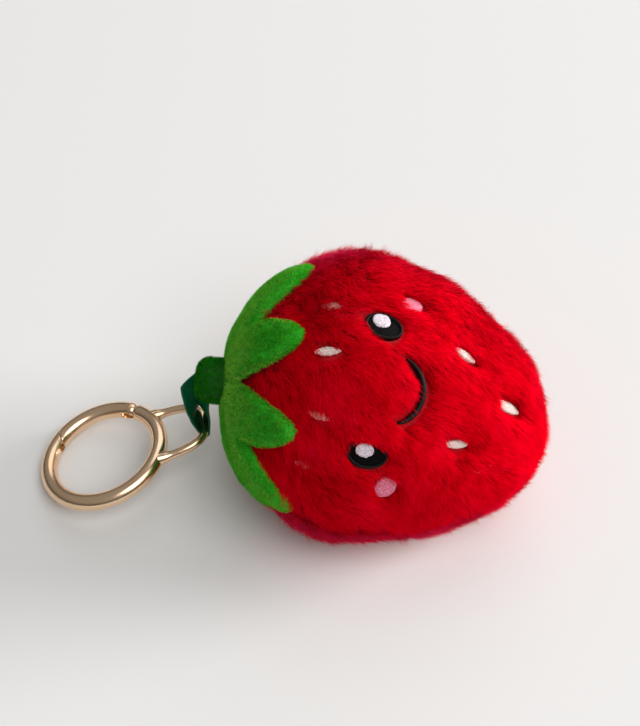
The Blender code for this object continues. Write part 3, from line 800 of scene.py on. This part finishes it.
def thread_paint(name, dark, light, roughness, gloss=0.4):
    paint = Paint(name, light, roughness, Specular_IOR_Level=gloss)
    return paint.colour(paint.noise(2600, 2), [(0.3, dark), (0.65, light)]).material


def stitched_oval(name, matrix, size, pitch, dome, rng, point=2.0, slant=0.0, jag=0.1 * MM):
    """Threads laid side by side across an oval: each is a ridge, and their ends are uneven."""
    threads = max(4, round(2 * size[0] / pitch))
    per = 6
    count = threads * per + 1
    across = np.linspace(-0.992, 0.992, count)
    thread = np.minimum(np.arange(count) // per, threads - 1)
    reach = size[1] * np.sqrt(1 - np.abs(across) ** point)
    ends = rng.uniform(-jag, jag, (2, threads))[:, thread]
    ridge = np.abs(np.sin(math.pi * np.arange(count) / per)) ** 0.7
    cols = 13
    along = np.linspace(-1, 1, cols)
    length = reach + np.where(along[:, None] > 0, ends[0], ends[1]) * np.abs(along[:, None])
    y = along[:, None] * np.maximum(length, 0.05 * MM)
    x = across * size[0] + slant * y
    crown = np.sqrt(np.clip(1 - along[:, None] ** 2 * 0.96, 0, 1))
    height = dome * crown * np.sqrt(np.clip(1.02 - across**2, 0, 1)) + 0.09 * MM * ridge * crown
    height = height + 0.02 * MM * rng.normal(size=threads)[thread]
    top = np.stack(np.broadcast_arrays(x, y, height), -1)
    bottom = top * np.array([1, 1, 0]) + np.array([0, 0, -0.9 * MM])
    return slab_mesh(name, to_world(top, matrix), to_world(bottom, matrix))


def stitched_path(name, matrix, centre, normal_out, half, height, pitch, closed, slant=0.25):
    """A satin-stitched line: short threads side by side across a path in the motif's plane."""
    count = len(centre)
    steps = np.linalg.norm(np.diff(centre, axis=0, append=centre[:1] if closed else centre[-1:]), axis=1)
    run = np.concatenate([[0], np.cumsum(steps)[:-1]])
    total = steps.sum()
    threads = round(total / pitch)
    cols = 9
    across = np.linspace(-1, 1, cols)
    phase = run[:, None] / total * threads + slant * across[None]
    ridge = np.abs(np.sin(math.pi * phase)) ** 0.7
    crown = np.sqrt(np.clip(1 - across**2, 0, 1))[None]
    flat = centre[:, None] + normal_out[:, None] * (across[None, :, None] * half[:, None, None])
    z = height * crown * (half / half.max())[:, None] ** 0.6 + 0.07 * MM * ridge * crown
    top = np.concatenate([flat, z[..., None]], -1)
    bottom = np.concatenate([flat, np.full((count, cols, 1), -0.9 * MM)], -1)
    if closed:
        top, bottom = np.swapaxes(top, 0, 1), np.swapaxes(bottom, 0, 1)
    return slab_mesh(name, to_world(top, matrix), to_world(bottom, matrix), wrap=closed)


def add_stitching(name, mesh, material, slot, *nodes):
    piece = new_object(name, mesh, [material])
    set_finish(piece, slot)
    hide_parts(*nodes)
    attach(piece, "plush")
    return piece


def sunk(name, depth):
    return PLUSH @ FRAMES[name] @ Matrix.Translation((0, 0, -depth))


def build_face():
    rng = np.random.default_rng(77)
    black = thread_paint("black_thread", (0.001, 0.001, 0.001), (0.003, 0.003, 0.003), 0.6, 0.08)
    edge = thread_paint("black_edge_thread", (0.001, 0.001, 0.001), (0.006, 0.006, 0.007), 0.5, 0.16)
    white = thread_paint("white_thread", (0.62, 0.5, 0.58), (0.93, 0.86, 0.92), 0.45)
    pink = thread_paint("pink_thread", (0.66, 0.06, 0.16), (0.93, 0.33, 0.45), 0.5)
    cream = thread_paint("cream_thread", (0.72, 0.5, 0.45), (0.96, 0.86, 0.8), 0.45)
    for side in ("left", "right"):
        eye = "eye_" + side
        size = MOTIFS[eye][4]
        at = sunk(eye, 3.0 * MM)
        inner = (size[0] - 0.5 * MM, size[1] - 0.5 * MM)
        mesh = stitched_oval("stitched_" + eye, at, inner, 0.34 * MM, 0.55 * MM, rng)
        add_stitching("stitched_" + eye, mesh, black, "black_thread", eye)
        turn = np.linspace(0, 2 * math.pi, 220, endpoint=False)
        out = np.stack([np.cos(turn), np.sin(turn)], -1)
        path = out * (np.array(size) - 0.55 * MM)
        mesh = stitched_path(
            f"stitched_{eye}_edge", at, path, out, np.full(220, 0.5 * MM), 0.62 * MM, 0.34 * MM, True
        )
        rim = new_object(f"stitched_{eye}_edge", mesh, [edge])
        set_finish(rim, "black_thread")
        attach(rim, "plush")
        glint = "eye_glint_" + side
        place = at @ Matrix.Translation((-0.9 * MM, 1.0 * MM, 0.55 * MM))
        mesh = stitched_oval("stitched_" + glint, place, (2.3 * MM, 1.85 * MM), 0.38 * MM, 0.4 * MM, rng)
        add_stitching("stitched_" + glint, mesh, white, "white_thread", glint)
        cheek = "cheek_" + side
        at = sunk(cheek, 2.7 * MM) @ Matrix.Rotation(math.radians(35), 4, "Z")
        mesh = stitched_oval("stitched_" + cheek, at, MOTIFS[cheek][4], 0.33 * MM, 0.5 * MM, rng)
        add_stitching("stitched_" + cheek, mesh, pink, "pink_thread", cheek)
    turn = np.linspace(*SMILE_ANGLES, 170)
    out = np.stack([np.cos(turn), np.sin(turn)], -1)
    path = out * SMILE_RADIUS + SMILE_CENTRE
    way = np.linspace(-1, 1, 170)
    half = 0.78 * MM * (1 - np.where(way > 0, 0.66, 0.7) * np.abs(way) ** np.where(way > 0, 1.8, 5))
    at = PLUSH @ SMILE_FRAME @ Matrix.Translation((0, 0, -2.5 * MM))
    mesh = stitched_path("stitched_smile", at, path, out, half, 0.75 * MM, 0.36 * MM, False, 0.8)
    add_stitching("stitched_smile", mesh, edge, "black_thread", "smile")
    for name in MOTIFS:
        if name.startswith("seed"):
            along, clear = MOTIFS[name][0] * MM, MOTIFS[name][5]
            depth = {CLEAR: 2.5, HALF_CLEAR: 3.3, SLIVER: 3.7, SPECK: 4.3}.get(clear, 2.7) * MM
            depth += SKIN_SEAT * float(calyx_seat(along / BODY_LENGTH + 0.5))
            at, size = sunk(name, depth), MOTIFS[name][4]
            mesh = stitched_oval("stitched_" + name, at, size, 0.42 * MM, 0.5 * MM, rng, 1.5, 0.15)
            add_stitching("stitched_" + name, mesh, cream, "white_thread", name)


# ---------------------------------------------------------------- ribbon

RIBBON_ROUTE = [
    # near edge, then far edge: out of the body behind the stem, folded, down under the wire and back up
    ((-41.5, 8.4, 36.0), (-41.5, 11.2, 30.0)),
    ((-45.6, 9.2, 32.6), (-44.2, 10.9, 27.6)),
    ((-49.4, 7.3, 31.2), (-46.0, 9.2, 26.3)),
    ((-52.2, 3.6, 31.4), (-47.1, 7.8, 25.2)),
    ((-52.6, 2.9, 29.6), (-47.5, 7.8, 23.0)),
    ((-51.8, 1.4, 24.4), (-48.2, 8.8, 20.6)),
    ((-50.6, 0.9, 18.6), (-49.2, 8.8, 16.8)),
    ((-49.3, 1.2, 14.2), (-50.3, 8.7, 13.0)),
    ((-48.5, 1.2, 12.0), (-49.9, 8.7, 11.0)),
    ((-47.0, 1.1, 11.5), (-48.4, 8.6, 10.5)),
    ((-46.0, 1.1, 12.5), (-47.2, 8.6, 11.5)),
    ((-45.7, 1.1, 15.2), (-47.1, 8.3, 14.4)),
    ((-45.4, 1.0, 20.0), (-48.8, 7.4, 18.4)),
    ((-45.5, 1.4, 25.0), (-48.4, 7.8, 22.2)),
    ((-44.1, 3.0, 29.6), (-46.0, 9.2, 25.6)),
    ((-41.0, 5.0, 32.6), (-41.4, 10.6, 28.6)),
]
# cut width, and the length along the middle of the route
RIBBON_FLAT = (10.0 * MM, 53.4 * MM)
RIBBON_THICKNESS = 0.34 * MM
RIBBON_ROWS, RIBBON_COLS = 150, 28


def smooth_route(points, count):
    """Points spaced evenly along a smooth curve through the given ones."""
    points = np.array(points, float)
    ends = np.concatenate([2 * points[:1] - points[1:2], points, 2 * points[-1:] - points[-2:-1]])
    place = np.linspace(0, len(points) - 1.0001, count)
    whole = place.astype(int)
    t = (place - whole)[:, None]
    a, b, c, d = (ends[whole + k] for k in range(4))
    return 0.5 * (2 * b + (c - a) * t + (2 * a - 5 * b + 4 * c - d) * t**2 + (3 * b - a - 3 * c + d) * t**3)


def build_ribbon():
    route = np.array(RIBBON_ROUTE) * MM
    near = smooth_route(route[:, 0], RIBBON_ROWS)
    far = smooth_route(route[:, 1], RIBBON_ROWS)
    across = np.linspace(0, 1, RIBBON_COLS)[None, :, None]
    middle = near[:, None] * (1 - across) + far[:, None] * across
    along = np.gradient(middle, axis=0)
    width = np.gradient(middle, axis=1)
    normal = unit(np.cross(along, width))
    from_middle = np.abs(2 * across - 1)
    selvedge = 1 + 0.5 * np.clip((from_middle - 0.88) / 0.06, 0, 1)
    curl = 0.18 * MM * from_middle**2
    middle = middle + normal * (curl + 0.1 * MM * ripple(middle, 7 * MM, 90)[..., None])
    half = normal * (RIBBON_THICKNESS / 2 * selvedge)
    mesh = slab_mesh("satin_ribbon", middle + half, middle - half)
    corner_u = np.repeat(np.linspace(0, 1, RIBBON_ROWS), RIBBON_COLS) * RIBBON_FLAT[1]
    corner_v = np.tile(np.linspace(0, 1, RIBBON_COLS), RIBBON_ROWS) * RIBBON_FLAT[0]
    flat = np.tile(np.stack([corner_u, corner_v], -1), (2, 1))
    layer = mesh.uv_layers.new(name="weave")
    index = np.empty(len(mesh.loops), np.int32)
    mesh.loops.foreach_get("vertex_index", index)
    layer.data.foreach_set("uv", flat[index].astype(np.float32).ravel())
    paint = Paint("green_satin", (0.004, 0.15, 0.06), 0.5, Specular_IOR_Level=0.25)
    tree = paint.tree
    place = tree.nodes.new("ShaderNodeUVMap")
    place.uv_map = "weave"
    ribs = []
    for direction, scale in (("X", 2400.0), ("Y", 1500.0)):
        wave = tree.nodes.new("ShaderNodeTexWave")
        wave.bands_direction = direction
        wave.inputs["Scale"].default_value = scale
        wave.inputs["Distortion"].default_value = 0.6
        link(tree, place.outputs["UV"], wave.inputs["Vector"])
        ribs.append(wave.outputs["Fac"])
    both = tree.nodes.new("ShaderNodeMath")
    both.operation = "MULTIPLY"
    link(tree, ribs[0], both.inputs[0])
    link(tree, ribs[1], both.inputs[1])
    paint.colour(both.outputs["Value"], [(0.1, (0.001, 0.13, 0.05)), (0.8, (0.006, 0.25, 0.11))])
    paint.bump(both.outputs["Value"], 0.35, 0.06 * MM)
    ribbon = new_object("satin_ribbon", mesh, [paint.material])
    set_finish(ribbon, "satin")
    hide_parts("ribbon_anchor", "ribbon_loop")
    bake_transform(ribbon)


# ---------------------------------------------------------------- ring and gate


def tube_mesh(name, points, radii, sides=26):
    """A round wire of varying radius along the points, with flat ends."""
    points = np.array(points, float)
    ahead = unit(np.gradient(points, axis=0))
    up = np.array([0.0, 0.0, 1.0])
    across = unit(np.cross(up, ahead))
    other = np.cross(ahead, across)
    turn = np.linspace(0, 2 * math.pi, sides, endpoint=False)
    ring = across[:, None] * np.cos(turn)[None, :, None] + other[:, None] * np.sin(turn)[None, :, None]
    radii = np.broadcast_to(radii, len(points))
    grid = points[:, None] + ring * radii[:, None, None]
    return capsule_mesh(name, grid)


def ring_point(angle, radius=RING_RADIUS):
    return Vector((radius * math.cos(angle) - LOOP_REACH, radius * math.sin(angle), 0))


def ring_arc(first, last):
    count = round(math.degrees(last - first) / 2.5)
    return [ring_point(first + (last - first) * step / count) for step in range(count + 1)]


def cast_loop():
    points = []
    for step in range(81):
        angle = math.pi * (step / 80 - 0.5)
        bend = 2 / LOOP_SQUARENESS
        points.append((
            LOOP_START - LOOP_REACH + (LOOP_REACH - LOOP_START) * abs(math.cos(angle)) ** bend,
            math.copysign(LOOP_HALF_WIDTH * abs(math.sin(angle)) ** bend, angle),
            0,
        ))
    points = np.array(points)
    reach = (points[:, 0] + LOOP_REACH - RING_RADIUS) / (3.6 * MM)
    flare = 0.75 * MM * np.clip(1 - reach, 0, 1) ** 2
    return points, LOOP_WIRE + flare


def box_between(name, low, high):
    bm = bmesh.new()
    bmesh.ops.create_cube(bm, size=1)
    low, high = Vector(low), Vector(high)
    for vertex in bm.verts:
        share = vertex.co + Vector((0.5, 0.5, 0.5))
        vertex.co = Vector(a + (b - a) * t for a, b, t in zip(low, high, share))
    mesh = bpy.data.meshes.new(name)
    bm.to_mesh(mesh)
    bm.free()
    return mesh


def cylinder_mesh(name, radius, bottom, top, segments=40):
    bm = bmesh.new()
    bmesh.ops.create_cone(bm, cap_ends=True, segments=segments, radius1=radius, radius2=radius, depth=1)
    for vertex in bm.verts:
        vertex.co.z = top if vertex.co.z > 0 else bottom
    mesh = bpy.data.meshes.new(name)
    bm.to_mesh(mesh)
    bm.free()
    return mesh


def ball_mesh(name, radius):
    bm = bmesh.new()
    bmesh.ops.create_uvsphere(bm, u_segments=36, v_segments=24, radius=radius)
    mesh = bpy.data.meshes.new(name)
    bm.to_mesh(mesh)
    bm.free()
    return mesh


def apply_modifiers(obj):
    evaluated = obj.evaluated_get(bpy.context.evaluated_depsgraph_get())
    mesh = bpy.data.meshes.new_from_object(evaluated)
    obj.modifiers.clear()
    obj.data = mesh


def carve(obj, mesh, matrix, operation="DIFFERENCE"):
    """Cut a mesh from obj, or join it on."""
    tool = new_object("tool", mesh, smooth=False)
    tool.matrix_world = matrix
    bpy.context.view_layer.update()
    modifier = obj.modifiers.new("carve", "BOOLEAN")
    modifier.solver = "EXACT"
    modifier.operation = operation
    modifier.object = tool
    apply_modifiers(obj)
    bpy.data.objects.remove(tool)


def finish_metal(obj, matrix, body, paint, slot, *nodes):
    """Round the edges, shade smooth between them, and place the piece."""
    obj.data.transform(matrix)
    obj.data.materials.clear()
    obj.data.materials.append(paint)
    bevel = obj.modifiers.new("edges", "BEVEL")
    bevel.width = 0.13 * MM
    bevel.segments = 3
    bevel.limit_method = "ANGLE"
    bevel.angle_limit = math.radians(38)
    bevel.harden_normals = True
    apply_modifiers(obj)
    obj.data.shade_smooth()
    obj.data.set_sharp_from_angle(angle=math.radians(50))
    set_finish(obj, slot)
    if nodes:
        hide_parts(*nodes)
    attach(obj, body)


def aimed(origin, direction):
    turn = math.atan2(direction.y, direction.x)
    return Matrix.Translation(origin) @ Matrix.Rotation(turn, 4, "Z")


def gold_paint():
    paint = Paint("polished_gold", (0.95, 0.67, 0.44), 0.2, 1.0)
    smear = paint.noise(160, 4)
    paint.roughness(smear, 0.17, 0.27)
    paint.colour(paint.noise(90, 2), [(0.35, (0.93, 0.64, 0.41)), (0.65, (0.97, 0.70, 0.47))])
    paint.bump(paint.noise(700, 3), 0.04, 0.05 * MM)
    return paint.material


def build_clasp():
    gold = gold_paint()
    pivot = ring_point(GATE_PIVOT)
    latch = ring_point(LATCH)
    chord = aimed(latch, latch - pivot)
    towards_body = aimed(pivot, ring_point(GATE_SEAM) - pivot)
    at_pivot = Matrix.Translation(pivot)
    big = 6 * MM
    tall = (-2 * RING_WIRE, 2 * RING_WIRE)
    body_arc = ring_arc(LATCH - 0.4, 2 * math.pi + GATE_SEAM)
    body = new_object("gold_ring", tube_mesh("gold_ring", body_arc, RING_WIRE))
    carve(body, box_between("side", (-3 * big, -big, tall[0]), (GAP / 2, big, tall[1])), chord)
    carve(body, tube_mesh("loop", *cast_loop(), 20), Matrix(), "UNION")
    reach = (ring_point(GATE_SEAM) - pivot).length
    tongue = box_between(
        "tongue", (0, -TONGUE_RADIUS, -TONGUE / 2), (reach + 1.5 * MM, TONGUE_RADIUS, TONGUE / 2)
    )
    carve(body, tongue, towards_body, "UNION")
    carve(body, cylinder_mesh("end", TONGUE_RADIUS, -TONGUE / 2, TONGUE / 2), at_pivot, "UNION")
    socket = box_between(
        "socket", (-big, -NOSE_OUTWARD - GAP, -SLOT / 2), (NOSE_REACH + 2 * GAP, 2 * RING_WIRE, SLOT / 2)
    )
    carve(body, socket, chord)
    carve(body, cylinder_mesh("hole", PIN_RADIUS + GAP, *tall), at_pivot)
    finish_metal(body, CLASP, "spring_ring", gold, "gold", "ring_body")

    gate = new_object("gold_gate", tube_mesh("gold_gate", ring_arc(GATE_PIVOT, LATCH + 0.4), RING_WIRE))
    carve(gate, ball_mesh("knuckle", RING_WIRE * 1.004), at_pivot, "UNION")
    carve(gate, box_between("face", (-GAP / 2, -2 * big, tall[0]), (3 * big, 2 * big, tall[1])), chord)
    nose = box_between("nose", (-1.2 * MM, -NOSE_OUTWARD, -TONGUE / 2), (NOSE_REACH, NOSE_INWARD, TONGUE / 2))
    carve(gate, nose, chord, "UNION")
    fork = box_between("fork", (-TONGUE_RADIUS - GAP, -big, -SLOT / 2), (big, big, SLOT / 2))
    carve(gate, fork, towards_body)
    carve(gate, cylinder_mesh("hole", PIN_RADIUS + 0.02 * MM, *tall), at_pivot)
    finish_metal(gate, CLASP, "gate", gold, "gold", "gate")

    pin_end = RING_WIRE * 1.02
    pin = new_object("rivet_pin", cylinder_mesh("rivet_pin", PIN_RADIUS, -pin_end, pin_end))
    finish_metal(pin, CLASP @ at_pivot, "spring_ring", gold, "gold", "hinge_pin")
    steel = Paint("spring_steel", (0.6, 0.6, 0.6), 0.3, 1.0)
    steel.roughness(steel.noise(900), 0.22, 0.38)
    for name in ("gate_spring", "gate_plunger"):
        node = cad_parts[name]
        for material_slot in node.material_slots:
            material_slot.material = steel.material


# ---------------------------------------------------------------- assembly

place_camera()
build_studio()
velvet_paints = shade_set("velvet", VELVET_SHADES, 0.75, 0.9, (0.48, 1.0, 0.11))
stem_paints = shade_set("stem_velvet", STEM_SHADES, 0.75, 0.3, (0.2, 1.0, 0.05))
build_plush()
build_calyx(velvet_paints)
build_stem(stem_paints)
build_face()
build_ribbon()
build_clasp()
